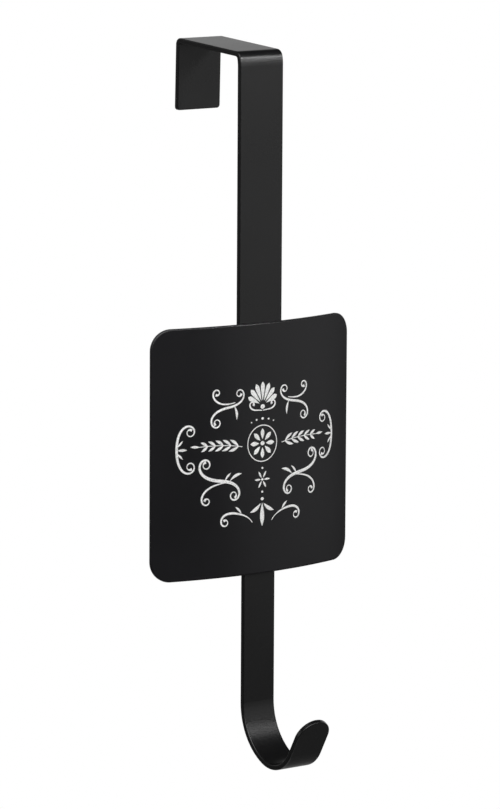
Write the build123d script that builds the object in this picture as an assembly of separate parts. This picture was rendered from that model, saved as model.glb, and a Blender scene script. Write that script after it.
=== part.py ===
from build123d import *
import os
from math import cos, degrees, radians, sin, sqrt, tan

# An over-door hook in three pieces of sheet and strip steel: the strip that
# goes over the door, the curved plate on its front, and the hook below.
# Frame: millimetres, +X to the right, +Y towards the door, +Z up.
# The origin is the middle of the bridge's underside, where the door seats.

# Over-door strip
strip_width = 25.0
strip_thickness = 2.4
door_gap = 44.5          # between the strip and the tab, at the bridge
bridge_rise = 4.2        # degrees that the bridge climbs towards the tab
front_bend = 1.6         # inside radius of the bend above the strip
front_lean = 12.0        # degrees that the strip leans back below that bend
lean_length = 5.0        # of the leaning part, along the strip's front
lean_curve = 16.0        # radius of the easy curve from there into the straight strip
rear_bend = 0.6          # inside radius of the bend above the tab
tab_length = 34.0        # down from the rear bend's outer corner
tab_splay = 1.5          # degrees that the tab opens away from the door
tab_corner = 1.6         # rounded corners at the tab's end
strip_overlap = 52.0     # hidden length behind the plate

# Curved plate
plate_width = 118.0      # along the curve
plate_height = 118.0
plate_thickness = 1.5
plate_radius = 185.0     # of the front face, about an upright axis
plate_corner = 10.0
plate_edge_round = 0.7   # around the front face
plate_drop = 125.8       # from the strip's top corner to the plate's upper edge

# Hook strip
hook_width = 18.3
hook_thickness = 2.4
hook_overlap = 52.0      # hidden length behind the plate
hook_straight = 61.0     # from the plate's lower edge to the first curve
back_radius = 26.9       # inside radius of the long curve at the back
back_turn = 63.6         # degrees
throat_radius = 14.1     # inside radius of the tighter curve in front
throat_turn = 87.2       # degrees
tip_length = 19.4        # straight run up to the rounded end
tip_flat = 0.4           # level stretch left in the middle of the rounded end

edge_round = 0.45        # radius along both sides of the strips

# Sizes that follow from these
outer_depth = door_gap + 2 * strip_thickness
plate_bottom = -(plate_drop + plate_height)
plate_back_radius = plate_radius - plate_thickness


def seat_to_axis(width):
    """Distance from a strip's front face to the plate's axis of curvature.

    The strip stands in the hollow of the plate and touches it along the two
    rounded edges of its front face.
    """
    reach = plate_back_radius - edge_round
    half_span = width / 2 - edge_round
    return edge_round + sqrt(reach ** 2 - half_span ** 2)


# The strip's front face is at y = 0 and its upper front corner at z = 0 until
# the pieces are moved to the frame's origin at the end.
plate_axis_y = seat_to_axis(strip_width)
hook_front_y = plate_axis_y - seat_to_axis(hook_width)


def end_face(strip, point):
    """The sheared end of a strip whose middle lies nearest to a point."""
    return strip.faces().sort_by(lambda face: (face.center() - point).length)[0]


def round_end(strip, point, radius):
    """Round the two corners of the strip's end near a point."""
    corners = end_face(strip, point).edges().filter_by(Axis.X, reverse=True)
    return fillet(corners, radius)


def break_edges(strip):
    """Round every edge where two faces of a strip meet at an angle."""
    faces = strip.faces()
    sharp = []
    for edge in strip.edges():
        first, second = [face for face in faces if edge in face.edges()]
        middle = edge @ 0.5
        if first.normal_at(middle).dot(second.normal_at(middle)) < 0.5:
            sharp.append(edge)
    return fillet(sharp, edge_round)


def bent_strip(outline, width, thickness, side):
    """Strip of one thickness that follows an outline in the YZ plane."""
    with BuildSketch(Plane.YZ) as profile:
        with BuildLine():
            add(outline)
            offset(amount=thickness, side=side)
        make_face()
    return extrude(profile.sketch, amount=width / 2, both=True)


def over_door_strip():
    """Front strip, bridge and rear tab, bent from one length of strip."""
    foot = (0, -(plate_drop + strip_overlap))
    knee = (0, -lean_length * cos(radians(front_lean)))
    front_corner = (lean_length * sin(radians(front_lean)), 0)
    rear_corner = (outer_depth, outer_depth * tan(radians(bridge_rise)))
    tab_end = (
        rear_corner[0] + tab_length * sin(radians(tab_splay)),
        rear_corner[1] - tab_length * cos(radians(tab_splay)),
    )
    outline = FilletPolyline(
        foot, knee, front_corner, rear_corner, tab_end,
        radius=[lean_curve, front_bend + strip_thickness, rear_bend + strip_thickness],
    )
    strip = bent_strip(outline, strip_width, strip_thickness, Side.RIGHT)
    strip = round_end(strip, Vector(0, *tab_end), tab_corner)
    return break_edges(strip)


def curved_plate():
    """Square sheet with rounded corners, rolled about an upright axis."""
    sweep_angle = degrees(plate_width / plate_radius)
    start = 270 - sweep_angle / 2
    with BuildSketch(Plane.XY.offset(plate_bottom)) as section:
        with BuildLine():
            axis = (0, plate_axis_y)
            front = CenterArc(axis, plate_radius, start, sweep_angle)
            back = CenterArc(axis, plate_back_radius, start, sweep_angle)
            Line(front @ 0, back @ 0)
            Line(front @ 1, back @ 1)
        make_face()
    plate = extrude(section.sketch, amount=plate_height)
    corners = plate.edges().filter_by(GeomType.LINE).filter_by(Axis.Z, reverse=True)
    plate = fillet(corners, plate_corner)
    front_face = plate.faces().sort_by(SortBy.AREA)[-1]
    return fillet(front_face.edges(), plate_edge_round)


def hook_strip():
    """Narrower strip that curls forward into a hook with a rounded end."""
    top = (hook_front_y, plate_bottom + hook_overlap)
    curve_start = (hook_front_y, plate_bottom - hook_straight)
    with BuildLine() as front_face:
        Line(top, curve_start)
        back_curve = JernArc(curve_start, (0, -1), back_radius, -back_turn)
        throat = JernArc(back_curve @ 1, back_curve % 1, throat_radius, -throat_turn)
        tip = Line(throat @ 1, throat @ 1 + (throat % 1) * tip_length)
    tip_end = tip @ 1
    strip = bent_strip(front_face.line, hook_width, hook_thickness, Side.LEFT)
    strip = round_end(strip, Vector(0, tip_end.X, tip_end.Y), (hook_width - tip_flat) / 2)
    return break_edges(strip)


def door_seat():
    """Middle of the bridge's underside, in the frame that the pieces are drawn in."""
    rise = radians(bridge_rise)
    middle = outer_depth / 2
    return Vector(0, middle, middle * tan(rise) - strip_thickness / cos(rise))


pieces = {
    "over_door_strip": over_door_strip(),
    "curved_plate": curved_plate(),
    "hook_strip": hook_strip(),
}

os.makedirs("parts", exist_ok=True)
for node, piece in pieces.items():
    export_step(piece.moved(Location(-door_seat())), f"parts/{node}.step")
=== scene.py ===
from math import cos, pi, radians, sin

import bmesh
import bpy
from mathutils import Matrix, Vector


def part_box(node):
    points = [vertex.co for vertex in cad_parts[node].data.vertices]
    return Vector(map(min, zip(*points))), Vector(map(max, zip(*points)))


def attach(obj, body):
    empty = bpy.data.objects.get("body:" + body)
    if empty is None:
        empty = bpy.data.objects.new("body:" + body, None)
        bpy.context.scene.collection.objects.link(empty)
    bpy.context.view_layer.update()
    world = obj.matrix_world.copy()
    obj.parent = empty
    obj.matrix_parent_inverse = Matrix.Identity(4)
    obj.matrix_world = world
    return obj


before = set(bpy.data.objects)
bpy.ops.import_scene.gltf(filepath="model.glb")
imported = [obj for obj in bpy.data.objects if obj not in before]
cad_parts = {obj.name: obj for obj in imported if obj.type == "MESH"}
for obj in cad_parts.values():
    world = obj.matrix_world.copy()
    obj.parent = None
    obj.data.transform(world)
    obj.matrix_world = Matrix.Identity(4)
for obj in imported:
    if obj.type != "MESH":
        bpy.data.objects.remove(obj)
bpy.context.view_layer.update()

bpy.context.scene.view_settings.view_transform = "Standard"

# Camera, in degrees and metres. It stands to the left of the hook and a little above.
# Azimuth 0 is straight in front, and 90 on the right, for the camera and the softboxes.
VIEW_AZIMUTH = -38.0
VIEW_PITCH = 8.73
VIEW_ROLL = 0.31
VIEW_DISTANCE = 2.283
VIEW_AIM = Vector((-0.0060, -0.02465, -0.1632))
LENS_MM = 219.1

# The floor is as far below the hook as below the top of a door.
FLOOR_DROP = 2.0
FLOOR_SIZE = 1.6

WHITE = (1.0, 1.0, 1.0, 1.0)
PALE = (0.8, 0.8, 0.8, 1.0)


class Value:
    """A shader socket that adds Math nodes when it is used in an expression."""

    def __init__(self, shading, socket):
        self.shading = shading
        self.socket = socket

    def math(self, operation, *inputs, clamp=False):
        settings = {"operation": operation, "use_clamp": clamp}
        return self.shading.node("ShaderNodeMath", settings, dict(enumerate(inputs)))

    def __add__(self, other):
        return self.math("ADD", self, other)

    def __sub__(self, other):
        return self.math("SUBTRACT", self, other)

    def __rsub__(self, other):
        return self.math("SUBTRACT", other, self)

    def __mul__(self, other):
        return self.math("MULTIPLY", self, other)

    __radd__ = __add__
    __rmul__ = __mul__

    def clamped(self):
        """The value held between 0 and 1."""
        return self.math("ADD", self, 0.0, clamp=True)

    def smooth(self, low, high):
        """0 below low, 1 above high and a smooth step between them."""
        settings = {"interpolation_type": "SMOOTHSTEP"}
        sockets = {"Value": self, "From Min": low, "From Max": high}
        return self.shading.node("ShaderNodeMapRange", settings, sockets)


class Shading:
    """The node tree of one material or of the world."""

    def __init__(self, owner):
        owner.use_nodes = True
        self.tree = owner.node_tree
        self.tree.nodes.clear()

    def node(self, kind, settings=None, sockets=None, output=0):
        """Add a node, apply its settings, fill its sockets and return one output."""
        made = self.tree.nodes.new(kind)
        for name, value in (settings or {}).items():
            setattr(made, name, value)
        for name, value in (sockets or {}).items():
            if isinstance(value, Value):
                self.tree.links.new(value.socket, made.inputs[name])
            else:
                made.inputs[name].default_value = value
        return Value(self, made.outputs[output]) if made.outputs else None

    def output(self, kind, surface):
        self.node(kind, sockets={"Surface": surface})

    def noise(self, scale, detail, roughness):
        """Noise around 0.5 that is fixed to the piece, with its scale per metre."""
        place = self.node("ShaderNodeTexCoord", output="Object")
        return self.node("ShaderNodeTexNoise", sockets={
            "Vector": place, "Scale": scale, "Detail": detail, "Roughness": roughness,
        })

    def bump(self, height, strength, distance):
        return self.node("ShaderNodeBump", sockets={
            "Height": height, "Strength": strength, "Distance": distance,
        })

    def blend(self, factor, first, second):
        """One colour where the factor is 0 and the other where it is 1."""
        sockets = {0: factor, 6: (*first, 1.0), 7: (*second, 1.0)}
        return self.node("ShaderNodeMix", {"data_type": "RGBA"}, sockets, output=2)


def new_material(name):
    material = bpy.data.materials.new(name)
    return material, Shading(material)


# Powder coat. The drift is a slow change over the piece, and its scale is per metre.
GRAIN_STRENGTH = 0.22
GRAIN_RELIEF = 0.05      # of the grain's size
GRAIN_SHEEN = 0.10       # how far the grain moves the roughness
DRIFT_SCALE = 22.0
DRIFT_ENDS = (0.3, 0.7)  # noise where the coat is darkest and where it is lightest
DRIFT_SHEEN = 0.06       # how far the drift moves the roughness
DRIFT_TONE = 0.12        # share by which the drift moves the colour


def powder_coat(name, black, grain_size, roughness):
    """Satin black powder coat: a fine, even grain with a slow drift in its sheen."""
    material, shade = new_material(name)
    grain = shade.noise(1.0 / grain_size, detail=3.0, roughness=0.55)
    drift = shade.noise(DRIFT_SCALE, detail=2.0, roughness=0.5)
    darker = [channel * (1.0 - DRIFT_TONE) for channel in black]
    lighter = [channel * (1.0 + DRIFT_TONE) for channel in black]
    uneven = (grain - 0.5) * GRAIN_SHEEN + (drift - 0.5) * DRIFT_SHEEN
    coat = shade.node("ShaderNodeBsdfPrincipled", sockets={
        "Base Color": shade.blend(drift.smooth(*DRIFT_ENDS), darker, lighter),
        "Roughness": roughness + uneven,
        "IOR": 1.5,
        "Normal": shade.bump(grain, GRAIN_STRENGTH, grain_size * GRAIN_RELIEF),
    })
    shade.output("ShaderNodeOutputMaterial", coat)
    return material


# White ink, which is thinner in tiny specks where the coat's grain shows through
INK_FULL = (0.92, 0.92, 0.91)
INK_THIN = (0.64, 0.64, 0.63)
INK_ENDS = (0.34, 0.56)  # noise where it is thinnest and where it covers well
INK_ROUGHNESS = 0.62     # where it is thin
INK_SMOOTHING = 0.12     # how much smoother it is where it covers well
SPECK_SCALE = 1700.0     # per metre
SPECK_STRENGTH = 0.2
SPECK_RELIEF = 0.00003   # metres


def white_ink():
    """Matt white screen print, a little uneven, as ink on a grained coat is."""
    material, shade = new_material("white_ink")
    specks = shade.noise(SPECK_SCALE, detail=3.0, roughness=0.6)
    cover = specks.smooth(*INK_ENDS)
    ink = shade.node("ShaderNodeBsdfPrincipled", sockets={
        "Base Color": shade.blend(cover, INK_THIN, INK_FULL),
        "Roughness": INK_ROUGHNESS - cover * INK_SMOOTHING,
        "IOR": 1.45,
        "Normal": shade.bump(specks, SPECK_STRENGTH, SPECK_RELIEF),
    })
    shade.output("ShaderNodeOutputMaterial", ink)
    return material


# The printed ornament is drawn flat, in millimetres from its own middle, and then wrapped
# onto the plate's front. Bends are in degrees per millimetre, positive to the left.
PRINT_SCALE = 1.04
STROKE_WEIGHT = 0.85     # of the half widths written below
STROKE_STEP = 1.0        # millimetres between a stroke's control points
RING_STEPS = 48
HAIRLINE = 0.22          # half width of a flourish at its ends
SWELL = 1.5              # the higher it is, the shorter a flourish's thick middle
BEAD_END = 0.74          # half widths of the bead that closes a flourish
BEAD_NECK = 0.66
LEAF_TIP = 0.06          # half width at both ends of a leaf
INK_THICKNESS = 0.06     # of a stroke's half width
INK_LIFT = 0.03          # millimetres
PRINT_HEIGHT = -0.1848   # of the ornament's middle, in metres
PLATE_RADIUS = 0.185     # metres
SAME_PLACE = 0.000001    # metres within which two vertices are one


def walk(start, heading, runs):
    """Points along a line whose bend changes evenly over each run."""
    points = []
    place = Vector(start)
    angle = radians(heading)
    for length, bend_from, bend_to in runs:
        steps = max(2, round(length / STROKE_STEP))
        for step in range(steps):
            bend = bend_from + (bend_to - bend_from) * (step + 0.5) / steps
            angle += radians(bend) * length / steps
            place = place + Vector((cos(angle), sin(angle))) * length / steps
            points.append(place)
    return points


def negative(runs):
    """The same runs, bent the other way."""
    return [(length, -bend_from, -bend_to) for length, bend_from, bend_to in runs]


def flourish(middle, heading, ahead, behind, thick=0.62, beads=(True, True)):
    """A stroke that swells in the middle, drawn both ways from its middle.

    Beads close its two ends, the end behind first.
    """
    line = walk(middle, heading + 180, behind)[::-1] + [Vector(middle)]
    line += walk(middle, heading, ahead)
    last = len(line) - 1
    swelling = [sin(pi * place / last) ** SWELL for place in range(last + 1)]
    widths = [HAIRLINE + (thick - HAIRLINE) * share for share in swelling]
    if beads[0]:
        widths[0:2] = [BEAD_END, BEAD_NECK]
    if beads[1]:
        widths[-2:] = [BEAD_NECK, BEAD_END]
    return line, widths


def leaf(base, heading, length, half_width, bend=0.0, fullest=0.55):
    """A leaf, petal or drop: pointed at both ends and fullest part of the way along."""
    line = [Vector(base)] + walk(base, heading, [(length, bend, bend)])
    last = len(line) - 1
    widths = []
    for place in range(last + 1):
        along = place / last
        rise = along / fullest if along < fullest else (1.0 - along) / (1.0 - fullest)
        widths.append(LEAF_TIP + (half_width - LEAF_TIP) * sin(rise * pi / 2))
    return line, widths


def bead(middle, radius):
    """A round dot, drawn as a short stroke."""
    line = [Vector(middle) + Vector((offset * radius, 0.0)) for offset in (-0.9, -0.6, 0, 0.6, 0.9)]
    return line, [radius * size for size in (0.25, 0.8, 1.0, 0.8, 0.25)]


def on_circle(middle, degrees_round, radius):
    angle = radians(degrees_round)
    return Vector(middle) + Vector((cos(angle), sin(angle))) * radius


def ring(middle, radius, half_width):
    line = [on_circle(middle, 360 * step / RING_STEPS, radius) for step in range(RING_STEPS + 1)]
    return line, [half_width] * len(line)


def petals(middle, count, start, length, half_width):
    """Petals that spread from a flower's middle."""
    headings = [360 * petal / count for petal in range(count)]
    return [leaf(on_circle(middle, heading, start), heading, length, half_width, fullest=0.68)
            for heading in headings]


def right_half():
    """The strokes of the ornament's right half, which the left half mirrors."""
    strokes = []
    # Bracket at the side, with a volute at either end
    end_curl = [(8.0, 1.0, 5.5), (19.0, 5.5, 42.0)]
    strokes.append(flourish((44.4, 3.0), 90, end_curl, negative(end_curl), thick=0.7))
    strokes.append(leaf((44.0, 3.0), 180, 4.6, 0.75, fullest=0.5))
    strokes.append(leaf((44.3, 4.4), 148, 4.0, 0.6, -5.0))
    strokes.append(leaf((44.3, 1.6), 212, 4.0, 0.6, 5.0))
    # Scroll beside the crest, with a smaller volute branching off it
    strokes.append(flourish((18.5, 20.6), -8, [(7.0, 0.0, -6.5), (18.0, -6.5, -44.0)],
                            [(6.5, 0.0, -7.0), (14.5, -7.0, -48.0)]))
    strokes.append(flourish((22.0, 22.4), 14, [(4.5, 4.0, 10.0), (10.5, 10.0, 54.0)],
                            [(7.0, -5.0, -2.0)], thick=0.5, beads=(False, True)))
    strokes.append(leaf((15.5, 21.0), 232, 6.4, 0.75, 7.0))
    # Long scroll below the sprig, with its own branch
    strokes.append(flourish((22.5, -12.2), 8, [(8.5, 0.0, 5.5), (21.5, 5.5, 40.0)],
                            [(7.5, 0.0, 5.5), (19.5, 5.5, 43.0)], thick=0.85))
    strokes.append(flourish((27.0, -14.4), -20, [(6.0, -3.0, -9.0), (12.5, -9.0, -50.0)],
                            [(7.5, 3.0, 1.0)], thick=0.55, beads=(False, True)))
    strokes.append(leaf((17.5, -12.4), 128, 7.0, 0.8, 7.0))
    strokes.append(leaf((20.3, -12.4), 112, 4.8, 0.6, 7.0))
    # Scroll beside the drop
    strokes.append(flourish((14.0, -27.6), 12, [(5.5, -1.0, -8.0), (13.5, -8.0, -48.0)],
                            [(10.0, 1.0, 7.0)], beads=(False, True)))
    strokes.append(leaf((11.5, -27.8), 62, 4.6, 0.65, -6.0))
    # Laurel sprig
    stem = walk((10.2, 2.2), 13, [(24.0, -0.9, -0.4)])
    strokes.append((stem, [0.2] * len(stem)))
    for pair in range(5):
        root = stem[2 + 4 * pair]
        size = 5.6 - 0.4 * pair
        strokes.append(leaf(root, 52 - 3 * pair, size, 0.82, -5.0))
        strokes.append(leaf(root, -36 - 3 * pair, size, 0.82, 5.0))
    strokes.append(leaf(stem[-2], 4, 4.6, 0.75))
    # Beads above the rosette
    strokes.append(bead((3.4, 13.8), 0.55))
    strokes.append(bead((6.2, 12.8), 0.42))
    return strokes


def middle_line():
    """The strokes on the ornament's upright middle line: shell, rosette, flower and drop."""
    strokes = []
    # Shell with seven ribs on a small base
    for rib in range(-3, 4):
        heading = 90 - 21 * rib
        foot = on_circle((0.0, 20.2), heading, 2.2)
        strokes.append(leaf(foot, heading, 8.4 - 0.16 * rib * rib, 1.32, fullest=0.84))
    strokes.append(bead((0.0, 19.6), 1.35))
    for side in (-1, 1):
        strokes.append(flourish((side * 3.6, 18.2), 90 - side * 90,
                                [(2.5, side * 4.0, side * 14.0), (7.0, side * 14.0, side * 64.0)],
                                [(3.4, side * 3.0, side * 1.0)], thick=0.45, beads=(False, True)))
    strokes.append(bead((0.0, 14.2), 0.75))
    # Rosette in its ring
    strokes += petals((0.0, 3.0), 8, 1.9, 4.8, 1.3)
    strokes.append(bead((0.0, 3.0), 1.25))
    strokes.append(ring((0.0, 3.0), 8.2, 0.26))
    strokes.append(bead((0.0, -8.2), 0.6))
    # Small flower
    strokes += petals((0.0, -13.4), 6, 0.9, 3.3, 0.85)
    strokes.append(bead((0.0, -13.4), 0.7))
    strokes.append(bead((0.0, -19.0), 0.6))
    # Drop between two leaves
    strokes.append(bead((0.0, -22.2), 0.95))
    strokes.append(leaf((0.0, -24.0), -90, 10.5, 1.4, fullest=0.62))
    for side in (-1, 1):
        strokes.append(leaf((side * 0.9, -24.2), -90 + side * 34, 7.0, 1.0, side * 6.0))
    return strokes


def mirrored(strokes):
    """The same strokes on the other side of the upright middle line."""
    return [([Vector((-point.x, point.y)) for point in line], widths) for line, widths in strokes]


def flat_ornament():
    """Mesh of every stroke, drawn flat in millimetres and with strokes as thick as wide."""
    curve = bpy.data.curves.new("ornament_strokes", "CURVE")
    curve.dimensions = "3D"
    curve.bevel_depth = 1.0
    curve.bevel_resolution = 2
    curve.use_fill_caps = True
    right = right_half()
    for line, widths in middle_line() + right + mirrored(right):
        spline = curve.splines.new("NURBS")
        spline.points.add(len(line) - 1)
        for point, place, width in zip(spline.points, line, widths):
            point.co = (place.x, place.y, 0.0, 1.0)
            point.radius = width * STROKE_WEIGHT
        spline.order_u = 4
        spline.use_endpoint_u = True
        spline.resolution_u = 3
    drawn = bpy.data.objects.new("ornament_strokes", curve)
    bpy.context.scene.collection.objects.link(drawn)
    shapes = bpy.context.evaluated_depsgraph_get()
    mesh = bpy.data.meshes.new_from_object(drawn.evaluated_get(shapes))
    bpy.data.objects.remove(drawn)
    return mesh


def make_ornament(material):
    """White print on the plate: every stroke is a thin raised line that follows the curve."""
    mesh = flat_ornament()
    plate_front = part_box("curved_plate")[0][1]
    axis_y = plate_front + PLATE_RADIUS
    for vertex in mesh.vertices:
        across, up, out = vertex.co * PRINT_SCALE
        turn = across / 1000 / PLATE_RADIUS
        reach = PLATE_RADIUS + (INK_LIFT + out * INK_THICKNESS) / 1000
        vertex.co = (sin(turn) * reach, axis_y - cos(turn) * reach, PRINT_HEIGHT + up / 1000)
    shape = bmesh.new()
    shape.from_mesh(mesh)
    bmesh.ops.remove_doubles(shape, verts=shape.verts, dist=SAME_PLACE)
    bmesh.ops.recalc_face_normals(shape, faces=shape.faces)
    shape.to_mesh(mesh)
    shape.free()
    mesh.name = "printed_ornament"
    mesh.materials.clear()
    mesh.materials.append(material)
    mesh.shade_flat()
    ornament = bpy.data.objects.new("printed_ornament", mesh)
    bpy.context.scene.collection.objects.link(ornament)
    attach(ornament, "root")


def seen_directly(shade, reflections=1.0):
    """1 for camera and refracted rays, and a given share of it for reflected rays."""
    camera = shade.node("ShaderNodeLightPath", output="Is Camera Ray")
    glossy = shade.node("ShaderNodeLightPath", output="Is Glossy Ray")
    through = shade.node("ShaderNodeLightPath", output="Is Transmission Ray")
    return (camera + glossy * reflections + through).clamped()


def floor_material():
    """Pale floor that is plain white to the camera and in reflections."""
    material, shade = new_material("pale_floor")
    paint = shade.node("ShaderNodeBsdfDiffuse", sockets={"Color": PALE})
    white = shade.node("ShaderNodeEmission", sockets={"Color": WHITE})
    seen = seen_directly(shade)
    mixed = shade.node("ShaderNodeMixShader", sockets={0: seen, 1: paint, 2: white})
    shade.output("ShaderNodeOutputMaterial", mixed)
    return material


def make_camera():
    camera = bpy.data.objects.new("camera", bpy.data.cameras.new("camera"))
    bpy.context.scene.collection.objects.link(camera)
    camera.data.lens = LENS_MM
    camera.data.clip_end = 50.0
    turn = (
        Matrix.Rotation(radians(VIEW_AZIMUTH), 4, "Z")
        @ Matrix.Rotation(radians(90 - VIEW_PITCH), 4, "X")
        @ Matrix.Rotation(radians(VIEW_ROLL), 4, "Z")
    )
    back_off = turn @ Vector((0.0, 0.0, VIEW_DISTANCE))
    camera.matrix_world = Matrix.Translation(VIEW_AIM + back_off) @ turn
    bpy.context.scene.camera = camera


def make_floor():
    shape = bmesh.new()
    bmesh.ops.create_grid(shape, x_segments=1, y_segments=1, size=FLOOR_SIZE / 2)
    bmesh.ops.translate(shape, verts=shape.verts, vec=(0.0, 0.0, -FLOOR_DROP))
    mesh = bpy.data.meshes.new("floor")
    shape.to_mesh(mesh)
    shape.free()
    mesh.materials.append(floor_material())
    floor = bpy.data.objects.new("floor", mesh)
    bpy.context.scene.collection.objects.link(floor)


# Studio light from the world, where a strength of 1 is white
BACKDROP_IN_REFLECTIONS = 0.60   # of the white backdrop, low behind the hook
EVEN_LIGHT = 0.03
LEVEL_LIGHT = 0.08               # from eye level, all around
RIGHT_LIGHT = 0.13               # from eye level, on the right
RIGHT_LOSS_BEHIND = 0.3          # share of it that is missing behind the hook
CEILING_SHADE = 0.97             # share that is missing overhead
FLOOR_LIGHT = 0.12               # from straight below
REAR_LIGHT = 0.42                # from low behind the hook


def make_world():
    """White to the camera. What lights the hook is a dim studio, brighter to the right.

    The edges of its lights are places on the unit sphere: right, back and up are 1 in
    their own direction and -1 opposite to it.
    """
    world = bpy.data.worlds.new("studio")
    bpy.context.scene.world = world
    shade = Shading(world)
    direction = shade.node("ShaderNodeTexCoord", output="Generated")
    right, back, up = [
        shade.node("ShaderNodeSeparateXYZ", sockets={0: direction}, output=axis) for axis in "XYZ"
    ]
    backdrop = back.smooth(-0.05, 0.35) * up.smooth(-0.02, 0.14) * (1.0 - up.smooth(0.32, 0.54))
    level = up.smooth(-0.36, 0.10)
    on_right = right.smooth(-0.1, 0.7) * (1.0 - RIGHT_LOSS_BEHIND * back.smooth(0.3, 0.7))
    overhead = up.smooth(0.25, 0.65)
    below = 1.0 - up.smooth(-0.80, -0.40)
    rear = back.smooth(0.15, 0.65) * right.smooth(-0.60, 0.0) * (1.0 - up.smooth(-0.06, 0.10))

    studio = EVEN_LIGHT + RIGHT_LIGHT * on_right * level + LEVEL_LIGHT * level
    studio = studio * (1.0 - CEILING_SHADE * overhead)
    studio = studio + FLOOR_LIGHT * below + REAR_LIGHT * rear * (1.0 - below)
    seen = seen_directly(shade, reflections=BACKDROP_IN_REFLECTIONS * backdrop)
    strength = studio + seen * (1.0 - studio)
    sky = shade.node("ShaderNodeBackground", sockets={"Color": WHITE, "Strength": strength})
    shade.output("ShaderNodeOutputWorld", sky)


def add_softbox(name, target, azimuth, elevation, distance, size, power, spread=180.0):
    """Area lamp that looks at a target from a direction in degrees."""
    lamp = bpy.data.lights.new(name, "AREA")
    lamp.shape = "RECTANGLE"
    lamp.size, lamp.size_y = size
    lamp.energy = power
    lamp.spread = radians(spread)
    softbox = bpy.data.objects.new(name, lamp)
    softbox.visible_camera = False
    bpy.context.scene.collection.objects.link(softbox)
    level = cos(radians(elevation))
    away = Vector((
        sin(radians(azimuth)) * level, -cos(radians(azimuth)) * level, sin(radians(elevation)),
    ))
    turn = away.to_track_quat("Z", "Y").to_matrix().to_4x4()
    softbox.matrix_world = Matrix.Translation(Vector(target) + away * distance) @ turn


def dress(node, material):
    """Give a solid its material. Its shape stays as it is."""
    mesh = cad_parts[node].data
    mesh.materials.clear()
    mesh.materials.append(material)


BLACK = (0.0046, 0.0046, 0.0048)
COOL_BLACK = (0.0046, 0.0044, 0.0056)   # the plate's

# What the softboxes look at
FRONT_BEND = (0.0, -0.0247, 0.0)
PLATE_AND_STRIPS = (0.0, -0.0247, -0.20)
HOOK_CURL = (0.0, -0.0330, -0.3150)

strip_coat = powder_coat("strip_coat", BLACK, 0.0007, 0.30)
plate_coat = powder_coat("plate_coat", COOL_BLACK, 0.0008, 0.34)
dress("over_door_strip", strip_coat)
dress("hook_strip", strip_coat)
dress("curved_plate", plate_coat)

make_ornament(white_ink())

make_camera()
make_floor()
make_world()
add_softbox(
    "key_softbox", target=FRONT_BEND, azimuth=32.0, elevation=18.8, distance=1.05,
    size=(0.24, 0.20), power=0.215, spread=40.0,
)
add_softbox(
    "front_softbox", target=VIEW_AIM, azimuth=-30.0, elevation=45.0, distance=2.0,
    size=(2.6, 2.2), power=55.0,
)
add_softbox(
    "side_softbox", target=PLATE_AND_STRIPS, azimuth=49.0, elevation=0.0, distance=1.2,
    size=(1.04, 0.60), power=0.67,
)
add_softbox(
    "curl_softbox", target=HOOK_CURL, azimuth=38.0, elevation=39.5, distance=1.0,
    size=(0.24, 0.12), power=0.0070, spread=16.0,
)
